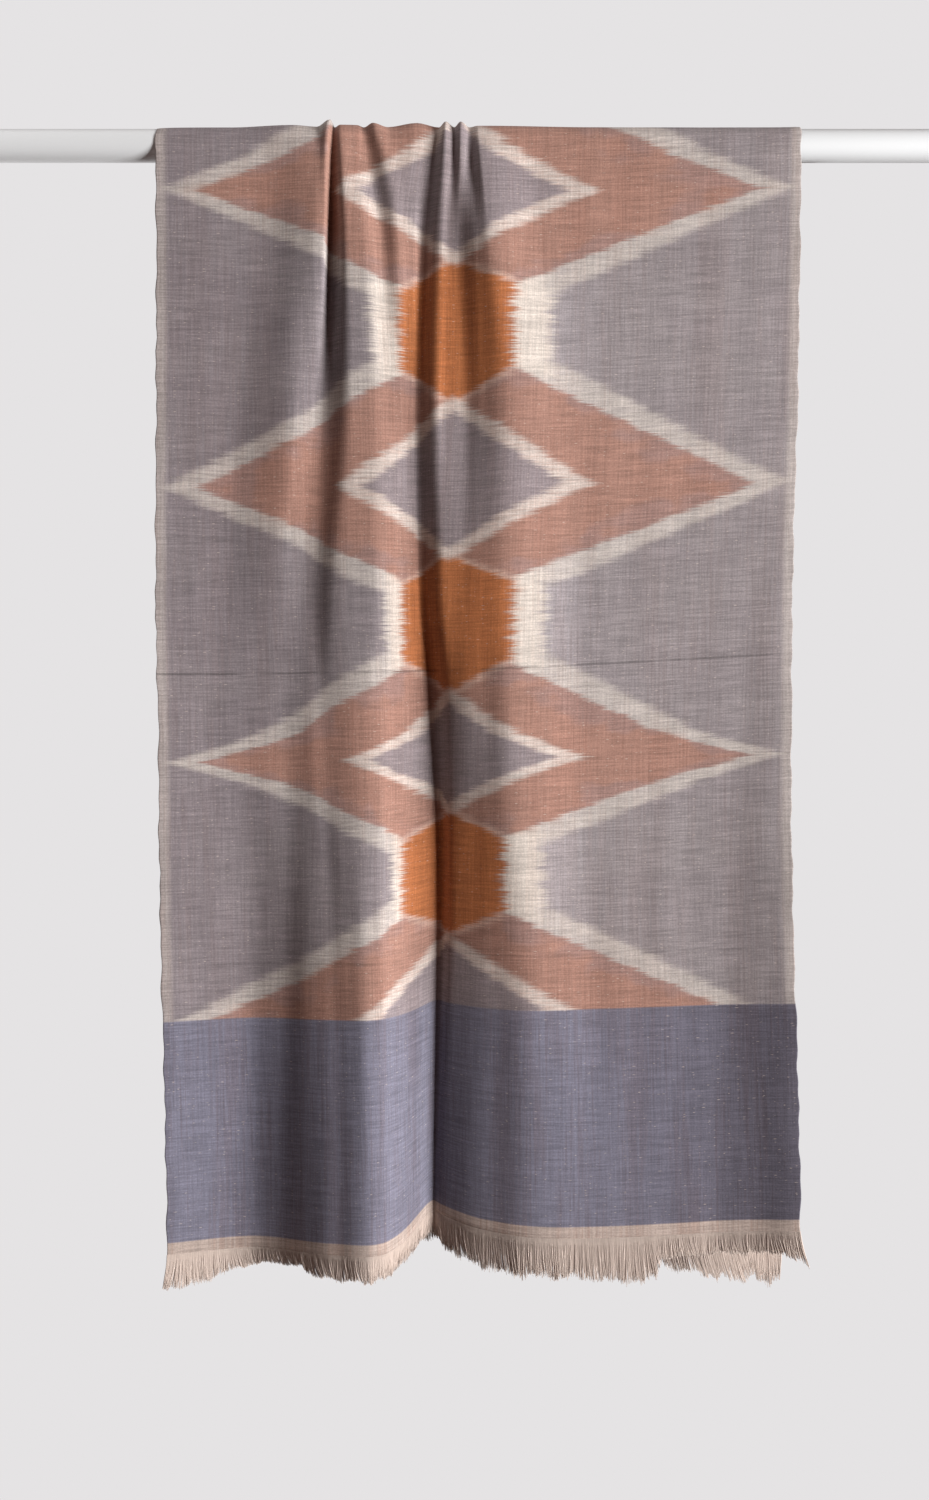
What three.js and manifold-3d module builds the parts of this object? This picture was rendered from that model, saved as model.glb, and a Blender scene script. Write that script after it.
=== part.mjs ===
// An ikat stole that hangs over a round rod, front and back layer of nearly one length.
// Millimetres, +Z up. The origin is on the rod's axis, at its middle. The front layer is on the -Y side.
import * as THREE from "three";
import { mergeVertices } from "three/addons/utils/BufferGeometryUtils.js";
import Module from "manifold-3d";

// The rod: a round dowel.
const ROD_DIAMETER = 30;
const ROD_LENGTH = 950;
const ROD_CHAMFER = 1;
const ROD_SIDES = 48;

// The cloth: one flat woven length, 660 wide, measured along the warp from the rod's top line.
const WALL = 1.2; // thickness of the modelled cloth wall
const REST_GAP = 0.5; // between the rod and the cloth on it, 0.3 at the middle of a flat facet
const SEAM_GAP = 0.3; // between two stretches of the cloth
const FRONT_LENGTH = 1048; // rod's top line to the front's woven edge
const BACK_LENGTH = 1034; // rod's top line to the back's woven edge
const BAND_DEPTH = 200; // plain dark band at each end
const STRIP_DEPTH = 12; // undyed woven strip that carries the fringe
const SADDLE_REACH = 48; // the stretch over the rod ends this far down each side
const BEND_RADIUS = ROD_DIAMETER / 2 + REST_GAP + WALL / 2;

// How far the weft climbs in front from the middle to each selvedge, and falls behind.
const SKEW_DROPS = [-1034, 0, 520, 836, 1048];
const SKEWS = { left: [14.5, -5, 3, 8, 11], right: [28, 13, 17, 13, 24] };
const HALF_WIDTH = 301;
// The deep hollow draws the front hem up where it meets it.
const HEM_LIFT = 27;
const LIFT_LEFT_REACH = 22;
const LIFT_RIGHT_REACH = 75;

// Fringe: each end has this many strands, three sides each.
const STRANDS = 100;
const STRAND_WIDTH = 2.2;
const STRAND_THICKNESS = 1;
const STRAND_TIP = 0.35; // tip width as a share of the root's
const STRAND_SHORTEST = 24;
const STRAND_LONGEST = 31;
const STRAND_ROOT = 2; // length held inside the strip

// The front's fold lines, left to right: each row is one crest, hollow or edge. "across" is where
// it runs, right of the rod's middle, and "out" is how far it stands in front of a plumb cloth,
// at each of these drops along the cloth from the rod's top line.
const FRONT_DROPS = [0, 45, 120, 280, 440, 560, 700, 1048];
const FRONT_LINES = [
  {
    name: "left selvedge",
    across: [-301, -301, -300, -300, -300, -297, -295, -287],
    out: [0, 0, 1, 2, 5, 8, 12, 18],
  },
  {
    name: "left hollow",
    across: [-236, -208, -212, -226, -236, -240, -212, -214],
    out: [0, 0, 0, -1, 0, 0, 0, 3],
  },
  {
    name: "left swell",
    across: [-176, -162, -163, -172, -184, -184, -180, -188],
    out: [2, 5, 9.5, 9, 5, 1, 5.5, 10],
  },
  {
    name: "left dip",
    across: [-152, -148, -149, -161, -169, -168, -157, -157],
    out: [0, 7, 12.5, 6, 4.5, 3.5, 12.5, 27],
  },
  {
    name: "pleat left lip",
    across: [-139, -142, -143.5, -153, -161, -159, -146, -139],
    out: [7, 9, 12, 3, 4.5, 5.3, 15.5, 35],
  },
  {
    name: "pleat floor",
    across: [-135, -137, -139, -144, -153, -150, -137, -127],
    out: [0, 0, -5, 0.5, 5.5, 7, 17.5, 39],
  },
  {
    name: "pleat right lip",
    across: [-130, -127, -123, -119, -133, -138, -125, -113],
    out: [2, 8, 13, 13.5, 14, 9.5, 21, 44],
  },
  {
    name: "left panel",
    across: [-114, -113, -106, -99, -97, -104, -106, -99],
    out: [2, 4, 13, 14, 18, 15, 25, 46],
  },
  {
    name: "slant hollow",
    across: [-108, -102, -90, -82, -80, -92, -92, -87],
    out: [0, 0, 5, 9, 12, 12.5, 23, 42],
  },
  {
    name: "slant crest",
    across: [-100, -87, -76, -73, -70, -79, -79, -76],
    out: [4, 6, 9, 6.5, 7.5, 5, 11, 29],
  },
  {
    name: "dent",
    across: [-86, -75, -66, -68, -64, -67, -66, -65],
    out: [0, 4, 5, 5, 5.5, -1, 1, 18.5],
  },
  {
    name: "round top",
    across: [-58, -62, -60, -63, -59, -54, -52, -53],
    out: [4, 3, 3, 4, 4, -6, -4, 9.5],
  },
  {
    name: "main floor",
    across: [-37, -43, -53, -57, -55, -43, -35, -42],
    out: [0, 0, -2, 2, 1, -9, -8, -1],
  },
  {
    name: "main lip",
    across: [-31, -32, -35, -38.5, -35, -28, -27, -36],
    out: [5, 9, 9.5, 14, 14.5, 7, 3, 4.5],
  },
  {
    name: "lip shelf",
    across: [-23, -24, -28, -30, -25, -19, -14, -24],
    out: [0, 4, 8, 12.5, 16.5, 12, 10, 12.5],
  },
  {
    name: "small crest",
    across: [-17, -17, -19, -15, -14, -8, -3, -8],
    out: [5, 9, 8.5, 13, 19, 16.5, 15, 21],
  },
  {
    name: "second floor",
    across: [-9, -8.5, -3, 1, -3, 3, 8, 12],
    out: [0, 3.5, 17.5, 19, 22, 20, 19.5, 29],
  },
  {
    name: "second lip",
    across: [-1, 2, 10, 28, 24, 30, 38, 60],
    out: [1, 10.5, 22, 26, 27, 26, 27, 41],
  },
  {
    name: "broad crest",
    across: [112, 60, 62, 88, 92, 100, 104, 124],
    out: [0, 2, 9, 14, 13, 12, 14, 42],
  },
  {
    name: "right hollow",
    across: [233, 233, 238, 230, 230, 225, 210, 212],
    out: [0, 0, 1, 5, 6, 7, 11, 43],
  },
  {
    name: "right selvedge",
    across: [301, 300, 299, 296, 291, 289, 287, 287],
    out: [0, 0, 0, 3, 5, 10, 20, 58],
  },
];

// Behind the rod the pleats run on, deepen and die out, and broad waves take over.
const BACK_DROPS = [0, 150, 500, 1034];
const BACK_LINES = [
  { name: "left selvedge", across: [-301, -300, -297, -292], out: [0, 0, 4, 16] },
  { name: "left hollow", across: [-215, -215, -210, -205], out: [0, 0, 0, 2] },
  { name: "left crest", across: [-120, -118, -112, -108], out: [0, 3, 9, 30] },
  { name: "middle hollow", across: [-20, -20, -18, -12], out: [0, 0, 1, 3] },
  { name: "right crest", across: [85, 85, 90, 96], out: [0, 3, 8, 27] },
  { name: "right hollow", across: [205, 205, 208, 210], out: [0, 0, 0, 4] },
  { name: "right selvedge", across: [301, 300, 297, 291], out: [0, 0, 5, 18] },
];
const PLEAT_DROPS = [0, 45, 130, 280, 430, 600];
const PLEAT_DEPTHS = [1, 1.25, 1.5, 0.9, 0.3, 0]; // times the pleats' depth on the rod

// Mesh density: the width of a column and the fewest between two fold lines, and a row's length.
const COLUMN_WIDTH = 22;
const FEWEST_IN_FRONT = 2;
const FEWEST_BEHIND = 1;
const FRONT_ROW = 60;
const BACK_ROW = 100;
const BEND_ROW = 5; // a row's length on the bend over the rod

const COLOURS = {
  lacquer: 0xe9e8e8,
  field: 0x8b7f80,
  band: 0x6f6e7c,
  tan: 0xb09e92,
};

// ---------- smooth curves through a few values ----------

// Slopes that keep a cubic curve from overshooting: nought at each crest and hollow, and the
// weighted harmonic mean of the two neighbouring slopes elsewhere. The ends are level, or they
// keep the slope of the last span.
function gentleSlopes(places, values, straightEnds) {
  const last = places.length - 1;
  const rise = (i) => (values[i + 1] - values[i]) / (places[i + 1] - places[i]);
  return places.map((_, i) => {
    if (i === 0) return straightEnds ? rise(0) : 0;
    if (i === last) return straightEnds ? rise(last - 1) : 0;
    const before = rise(i - 1);
    const after = rise(i);
    if (before * after <= 0) return 0;
    const left = places[i] - places[i - 1];
    const right = places[i + 1] - places[i];
    const beforeWeight = 2 * right + left;
    const afterWeight = right + 2 * left;
    return (beforeWeight + afterWeight) / (beforeWeight / before + afterWeight / after);
  });
}

// A smooth curve through the values at their places, level beyond both ends.
function curveThrough(places, values, straightEnds = false) {
  const slopes = gentleSlopes(places, values, straightEnds);
  return (at) => {
    const place = THREE.MathUtils.clamp(at, places[0], places[places.length - 1]);
    let i = 0;
    while (i < places.length - 2 && place > places[i + 1]) i += 1;
    const span = places[i + 1] - places[i];
    const t = (place - places[i]) / span;
    const s = 1 - t;
    return (
      values[i] * s * s * (1 + 2 * t) +
      values[i + 1] * t * t * (3 - 2 * t) +
      slopes[i] * span * t * s * s -
      slopes[i + 1] * span * t * t * s
    );
  };
}

// Each fold line as two curves down the cloth.
function runsOf(lines, drops) {
  return lines.map((line) => ({
    across: curveThrough(drops, line.across),
    out: curveThrough(drops, line.out),
  }));
}

const frontRuns = runsOf(FRONT_LINES, FRONT_DROPS);
const backRuns = runsOf(BACK_LINES, BACK_DROPS);
const pleatDepth = curveThrough(PLEAT_DROPS, PLEAT_DEPTHS);
const skewLeft = curveThrough(SKEW_DROPS, SKEWS.left);
const skewRight = curveThrough(SKEW_DROPS, SKEWS.right);

// The level section through the folds at one drop: how far out the cloth stands at a place across.
function sectionOf(runs, drop) {
  return curveThrough(
    runs.map((run) => run.across(drop)),
    runs.map((run) => run.out(drop)),
    true,
  );
}

const ridgesOnRod = sectionOf(frontRuns, 0);

// ---------- the draped sheet ----------

// Where a column runs at one place down the cloth. A column is a fold line's number plus a share
// of the way to the next one. Behind the rod the columns run straight down, to the edges' width.
function acrossOf(column, down) {
  const i = Math.min(Math.floor(column), frontRuns.length - 2);
  const share = column - i;
  const drop = Math.max(down, 0);
  const across = THREE.MathUtils.lerp(
    frontRuns[i].across(drop),
    frontRuns[i + 1].across(drop),
    share,
  );
  if (down >= 0) return across;
  const edge = backRuns[across < 0 ? 0 : backRuns.length - 1].across(-down);
  return (across * Math.abs(edge)) / HALF_WIDTH;
}

// The level section at one place down the cloth, front or back.
function foldsAt(down) {
  if (down >= 0) return sectionOf(frontRuns, down);
  const waves = sectionOf(backRuns, -down);
  const depth = pleatDepth(-down);
  return (across) => ridgesOnRod(across) * depth + waves(across);
}

// How far along the hanging path a thread lies: the skew and the drawn-up hem move it.
function pathOf(across, down) {
  const skewAt = across < 0 ? skewLeft : skewRight;
  let path = down - (skewAt(down) * across) / HALF_WIDTH;
  if (down > 0) {
    const share = down / FRONT_LENGTH;
    const floor = FRONT_LINES.findIndex((line) => line.name === "main floor");
    const aside = across - frontRuns[floor].across(down);
    const fade =
      aside < 0
        ? Math.exp(-((aside / LIFT_LEFT_REACH) ** 2))
        : Math.exp(-aside / LIFT_RIGHT_REACH);
    path -= HEM_LIFT * fade * share ** 4;
  }
  return path;
}

// A point of the sheet's middle surface. The path bends over the rod and then falls plumb.
function pointOn(across, down, out) {
  const path = pathOf(across, down);
  const quarter = (BEND_RADIUS * Math.PI) / 2;
  const bend = THREE.MathUtils.clamp(path, -quarter, quarter) / BEND_RADIUS;
  const fall = Math.max(Math.abs(path) - quarter, 0);
  const radius = BEND_RADIUS + out;
  return new THREE.Vector3(across, -radius * Math.sin(bend), radius * Math.cos(bend) - fall);
}

// The columns of a mesh: every fold line, and more of them between two lines that lie apart.
function meshColumns(fewest) {
  const columns = [];
  for (let i = 0; i < FRONT_LINES.length - 1; i += 1) {
    const spans = FRONT_DROPS.map((_, d) => FRONT_LINES[i + 1].across[d] - FRONT_LINES[i].across[d]);
    const count = Math.max(fewest, Math.round(Math.max(...spans) / COLUMN_WIDTH));
    for (let k = 0; k < count; k += 1) columns.push(i + k / count);
  }
  columns.push(FRONT_LINES.length - 1);
  return columns;
}

const frontColumns = meshColumns(FEWEST_IN_FRONT);
const backColumns = meshColumns(FEWEST_BEHIND);

// One row of the sheet: its points from the left edge to the right.
function rowAt(down, columns = frontColumns) {
  const folds = foldsAt(down);
  return columns.map((column) => {
    const across = acrossOf(column, down);
    return pointOn(across, down, folds(across));
  });
}

// A closed wall over a grid of points: half the thickness to each side, with its edges closed.
function wallOver(rows) {
  const tall = rows.length;
  const wide = rows[0].length;
  const near = (list, i) => list[THREE.MathUtils.clamp(i, 0, list.length - 1)];
  const outer = [];
  const inner = [];
  for (let r = 0; r < tall; r += 1) {
    for (let c = 0; c < wide; c += 1) {
      const along = near(near(rows, r + 1), c).clone().sub(near(near(rows, r - 1), c));
      const right = near(rows[r], c + 1).clone().sub(near(rows[r], c - 1));
      const outward = along.cross(right).normalize().multiplyScalar(WALL / 2);
      outer.push(rows[r][c].clone().add(outward));
      inner.push(rows[r][c].clone().sub(outward));
    }
  }
  const at = (r, c) => r * wide + c;
  const under = tall * wide;
  const faces = [];
  const quad = (a, b, c, d) => faces.push(a, b, c, a, c, d);
  for (let r = 0; r < tall - 1; r += 1) {
    for (let c = 0; c < wide - 1; c += 1) {
      const corners = [at(r, c), at(r + 1, c), at(r + 1, c + 1), at(r, c + 1)];
      quad(...corners);
      const [i, j, k, l] = corners.map((corner) => corner + under);
      quad(k, j, i, l); // split along the same diagonal, so that the wall keeps its thickness
    }
  }
  for (let r = 0; r < tall - 1; r += 1) {
    quad(at(r, 0) + under, at(r + 1, 0) + under, at(r + 1, 0), at(r, 0));
    const end = wide - 1;
    quad(at(r, end), at(r + 1, end), at(r + 1, end) + under, at(r, end) + under);
  }
  for (let c = 0; c < wide - 1; c += 1) {
    quad(at(0, c) + under, at(0, c), at(0, c + 1), at(0, c + 1) + under);
    const end = tall - 1;
    quad(at(end, c), at(end, c) + under, at(end, c + 1) + under, at(end, c + 1));
  }
  const geometry = new THREE.BufferGeometry().setFromPoints([...outer, ...inner]);
  geometry.setIndex(faces);
  return geometry;
}

// Evenly spaced places down the cloth, front positive and back negative.
function placesBetween(from, to, rowHeight) {
  const rows = Math.max(1, Math.round(Math.abs(to - from) / rowHeight));
  return Array.from({ length: rows + 1 }, (_, i) => THREE.MathUtils.lerp(from, to, i / rows));
}

// A hanging stretch of the cloth. Its rows run from behind to the front, as the wall needs.
function stretch(from, to) {
  const behind = from < 0;
  const places = placesBetween(from, to, behind ? BACK_ROW : FRONT_ROW).sort((a, b) => a - b);
  return wallOver(places.map((down) => rowAt(down, behind ? backColumns : frontColumns)));
}

// The stretch that bends over the rod, with its rows close together on the bend alone. The skew
// moves the bend along the cloth, so the close rows reach that much past a quarter turn.
function saddle() {
  const reach = (BEND_RADIUS * Math.PI) / 2 + Math.max(skewLeft(0), skewRight(0));
  const bend = placesBetween(-reach, reach, BEND_ROW);
  return wallOver([-SADDLE_REACH, ...bend, SADDLE_REACH].map((down) => rowAt(down)));
}

// ---------- fringe ----------

// Equal steps of the woven edge's own length: a point of the edge at each step, the point
// straight above it on the row inside the strip, and the edge's direction there.
function evenAlong(edge, above, count) {
  const lengths = [0];
  for (let i = 1; i < edge.length; i += 1) {
    lengths.push(lengths[i - 1] + edge[i].distanceTo(edge[i - 1]));
  }
  const total = lengths[lengths.length - 1];
  return Array.from({ length: count }, (_, k) => {
    const wanted = (total * (k + 0.5)) / count;
    const i = lengths.findIndex((length) => length >= wanted);
    const share = (wanted - lengths[i - 1]) / (lengths[i] - lengths[i - 1]);
    return {
      place: edge[i - 1].clone().lerp(edge[i], share),
      root: above[i - 1].clone().lerp(above[i], share),
      along: edge[i].clone().sub(edge[i - 1]).normalize(),
    };
  });
}

// An uneven but fixed number between nought and one for strand k.
function uneven(k, stir) {
  const wave = Math.sin(k * 12.9898 + stir * 78.233) * 43758.5453;
  return wave - Math.floor(wave);
}

// One strand: a three-sided spike that narrows to its tip, its axis from root to tip.
function strandGeometry(root, tip, along) {
  const axis = tip.clone().sub(root);
  const out = new THREE.Vector3().crossVectors(along, axis).normalize();
  const thickness = (width) => (width * STRAND_THICKNESS) / STRAND_WIDTH;
  const ring = (centre, width) => [
    centre.clone().addScaledVector(along, width / 2).addScaledVector(out, -thickness(width) / 3),
    centre.clone().addScaledVector(along, -width / 2).addScaledVector(out, -thickness(width) / 3),
    centre.clone().addScaledVector(out, (2 * thickness(width)) / 3),
  ];
  const points = [...ring(root, STRAND_WIDTH), ...ring(tip, STRAND_WIDTH * STRAND_TIP)];
  const faces = [0, 2, 1, 3, 4, 5];
  for (let i = 0; i < 3; i += 1) {
    const j = (i + 1) % 3;
    faces.push(i, j, j + 3, i, j + 3, i + 3);
  }
  return new THREE.BufferGeometry().setFromPoints(points).setIndex(faces);
}

const wasm = await Module();
wasm.setup();

// A closed geometry as a solid that can be joined.
function solidOf(geometry) {
  const bare = geometry.clone();
  bare.deleteAttribute("normal");
  bare.deleteAttribute("uv");
  const merged = mergeVertices(bare, 1e-4);
  return new wasm.Manifold(
    new wasm.Mesh({
      numProp: 3,
      vertProperties: merged.attributes.position.array,
      triVerts: new Uint32Array(merged.index.array),
    }),
  );
}

function geometryOf(solid) {
  const mesh = solid.getMesh();
  const geometry = new THREE.BufferGeometry();
  geometry.setAttribute("position", new THREE.BufferAttribute(mesh.vertProperties, 3));
  geometry.setIndex(new THREE.BufferAttribute(mesh.triVerts, 1));
  return geometry;
}

// The undyed strip at one end with its strands joined to it. side is 1 in front and -1 behind.
function fringedStrip(side) {
  const edge = side > 0 ? FRONT_LENGTH : -BACK_LENGTH;
  const strip = stretch(edge - side * (STRIP_DEPTH - SEAM_GAP), edge);
  const columns = side > 0 ? frontColumns : backColumns;
  const edgeRow = rowAt(edge, columns);
  const rootRow = rowAt(edge - side * STRAND_ROOT, columns);
  const solids = evenAlong(edgeRow, rootRow, STRANDS).map(({ place, root, along }, k) => {
    const length = THREE.MathUtils.lerp(STRAND_SHORTEST, STRAND_LONGEST, uneven(k, side));
    const lean = 2 * Math.sin(k * 0.37 + side) + (uneven(k, 2 + side) - 0.5);
    const fall = place.clone().sub(root).normalize();
    const tip = place.clone().addScaledVector(fall, length).addScaledVector(along, lean);
    return solidOf(strandGeometry(root, tip, along));
  });
  return geometryOf(wasm.Manifold.union([solidOf(strip), ...solids]));
}

// ---------- rod ----------

// The dowel: a turned profile with its ends eased, laid along X.
function rodGeometry() {
  const radius = ROD_DIAMETER / 2;
  const half = ROD_LENGTH / 2;
  const profile = [
    [0, -half],
    [radius - ROD_CHAMFER, -half],
    [radius, -half + ROD_CHAMFER],
    [radius, half - ROD_CHAMFER],
    [radius - ROD_CHAMFER, half],
    [0, half],
  ].map(([r, z]) => new THREE.Vector2(r, z));
  return new THREE.LatheGeometry(profile, ROD_SIDES).rotateZ(Math.PI / 2);
}

// ---------- the group ----------

function named(name, geometry, colour, roughness) {
  const material = new THREE.MeshStandardMaterial({ color: colour, roughness, metalness: 0 });
  const mesh = new THREE.Mesh(geometry, material);
  mesh.name = name;
  return mesh;
}

// The plain band at one end, a seam's gap past the field.
function bandFrom(place, side) {
  return stretch(side * (place + SEAM_GAP), side * (place + BAND_DEPTH));
}

const fieldFrom = SADDLE_REACH + SEAM_GAP;
const frontBandFrom = FRONT_LENGTH - STRIP_DEPTH - BAND_DEPTH;
const backBandFrom = BACK_LENGTH - STRIP_DEPTH - BAND_DEPTH;
const stole = new THREE.Group();
stole.add(named("rod", rodGeometry(), COLOURS.lacquer, 0.35));
stole.add(
  named("cloth_over_rod", saddle(), COLOURS.field, 0.9),
  named("front_field", stretch(fieldFrom, frontBandFrom), COLOURS.field, 0.9),
  named("back_field", stretch(-fieldFrom, -backBandFrom), COLOURS.field, 0.9),
  named("front_end_band", bandFrom(frontBandFrom, 1), COLOURS.band, 0.9),
  named("back_end_band", bandFrom(backBandFrom, -1), COLOURS.band, 0.9),
  named("front_fringe", fringedStrip(1), COLOURS.tan, 1),
  named("back_fringe", fringedStrip(-1), COLOURS.tan, 1),
);

export default stole;
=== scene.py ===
# %% [markdown]
# # An ikat stole over a rod
# A stole is one flat woven length, 66 cm wide and a little over 2 m long, with loose warp ends for
# a fringe. Here it hangs over a round white rod, bunched into a few pleats left of the middle, so
# that one layer falls in front and one behind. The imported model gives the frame: its sizes and
# places are kept, and everything below is a finer surface on the same form.

# %% Load the frame
import math

import bpy
import numpy as np
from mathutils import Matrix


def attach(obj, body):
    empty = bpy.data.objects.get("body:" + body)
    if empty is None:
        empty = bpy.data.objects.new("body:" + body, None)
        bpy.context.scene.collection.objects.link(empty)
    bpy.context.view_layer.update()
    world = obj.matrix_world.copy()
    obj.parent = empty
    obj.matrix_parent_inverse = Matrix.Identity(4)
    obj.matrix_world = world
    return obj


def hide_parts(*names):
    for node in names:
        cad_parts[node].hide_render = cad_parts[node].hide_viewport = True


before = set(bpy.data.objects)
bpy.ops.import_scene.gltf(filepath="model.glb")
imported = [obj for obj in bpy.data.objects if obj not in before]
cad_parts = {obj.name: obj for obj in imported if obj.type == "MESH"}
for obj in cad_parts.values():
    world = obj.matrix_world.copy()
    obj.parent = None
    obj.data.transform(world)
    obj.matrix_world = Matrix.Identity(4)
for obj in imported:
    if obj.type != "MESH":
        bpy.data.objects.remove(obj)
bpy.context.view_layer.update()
MM = 0.001  # the sizes below are millimetres

# %% [markdown]
# ## Small tools
# Three helpers are enough for the whole scene. Colours are chosen as sRGB hex values, as a dyer's
# card would show them, and a shader wants linear light. One function adds any shader node with its
# settings and its links. One function turns a grid of points into a mesh.

# %% Colour, node and mesh helpers
def linear(hex_colour):
    """Each sRGB channel goes through the standard curve: a short straight foot, then a power."""
    channel = np.array([int(hex_colour[i : i + 2], 16) for i in (1, 3, 5)]) / 255
    light = np.where(channel <= 0.04045, channel / 12.92, ((channel + 0.055) / 1.055) ** 2.4)
    return (*light.tolist(), 1.0)


def add(tree, kind, settings=None, inputs=None):
    """One new node. settings are its own properties; inputs are values, or outputs to link."""
    node = tree.nodes.new(kind)
    for name, value in (settings or {}).items():
        setattr(node, name, value)
    for name, value in (inputs or {}).items():
        if isinstance(value, bpy.types.NodeSocket):
            tree.links.new(value, node.inputs[name])
        else:
            node.inputs[name].default_value = value
    return node


def mesh_piece(name, points, quads):
    """A mesh object at the origin from an array of points in metres and an array of quads."""
    mesh = bpy.data.meshes.new(name)
    mesh.vertices.add(len(points))
    mesh.vertices.foreach_set("co", np.asarray(points, np.float32).ravel())
    mesh.loops.add(quads.size)
    mesh.loops.foreach_set("vertex_index", quads.ravel().astype(np.int32))
    mesh.polygons.add(len(quads))
    mesh.polygons.foreach_set("loop_start", np.arange(0, quads.size, 4, dtype=np.int32))
    mesh.polygons.foreach_set("use_smooth", np.ones(len(quads), bool))
    mesh.update(calc_edges=True)
    mesh.validate()
    piece = bpy.data.objects.new(name, mesh)
    bpy.context.scene.collection.objects.link(piece)
    return piece


def grid_quads(rows, columns):
    """Quads between neighbouring rows and columns of a grid whose points are stored row by row."""
    at = np.arange(rows * columns).reshape(rows, columns)
    return np.stack([at[:-1, :-1], at[1:, :-1], at[1:, 1:], at[:-1, 1:]], -1).reshape(-1, 4)


# %% [markdown]
# ## Camera
# The stole is seen square on from about arm's reach beyond its own length, with the camera level at
# half its height. The lens follows from how many millimetres one pixel covers at the cloth.

# %% Camera
PICTURE_HEIGHT = 1500
CAMERA_DISTANCE = 1500  # to the plumb front of the cloth
MM_PER_PIXEL = 0.93
CAMERA_ACROSS = -13.5
CAMERA_HEIGHT = -567.7
SENSOR = 36
ROD_RADIUS = 15
REST_GAP = 0.5
CAD_WALL = 1.2
BEND_RADIUS = ROD_RADIUS + REST_GAP + CAD_WALL / 2  # of the cloth's middle surface

camera_data = bpy.data.cameras.new("camera")
camera_data.sensor_width = SENSOR
camera_data.lens = SENSOR * CAMERA_DISTANCE / (MM_PER_PIXEL * PICTURE_HEIGHT)
camera = bpy.data.objects.new("camera", camera_data)
camera.location = (CAMERA_ACROSS * MM, -(CAMERA_DISTANCE + BEND_RADIUS) * MM, CAMERA_HEIGHT * MM)
camera.rotation_euler = (math.radians(90), 0, 0)
bpy.context.scene.collection.objects.link(camera)
bpy.context.scene.camera = camera

# %% [markdown]
# ## The drape
# Cloth that hangs in pleats is ruled by its crests and hollows: between two of them it curves
# smoothly from one to the other. So each crest, hollow and edge is one row of a table, which says
# where it runs and how far it stands out at a few drops below the rod. A cubic that never
# overshoots joins them, both down the cloth and across it. A cloth simulation would also drape it,
# but then the pleats would fall where they like, and here their places are known.

# %% Sizes of the cloth and its hang
FLAT_WIDTH = 660
FRONT_LENGTH = 1048
BACK_LENGTH = 1034
BAND_DEPTH = 200
STRIP_DEPTH = 12
# How far the weft climbs from the middle to each selvedge, at drops from the back's hem to the
# front's.
SKEW_DROPS = [-1034, 0, 520, 836, 1048]
SKEWS = {"left": [14.5, -5, 3, 8, 11], "right": [28, 13, 17, 13, 24]}
HALF_WIDTH = 301
HEM_LIFT = 27
LIFT_LEFT_REACH = 22
LIFT_RIGHT_REACH = 75

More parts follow.
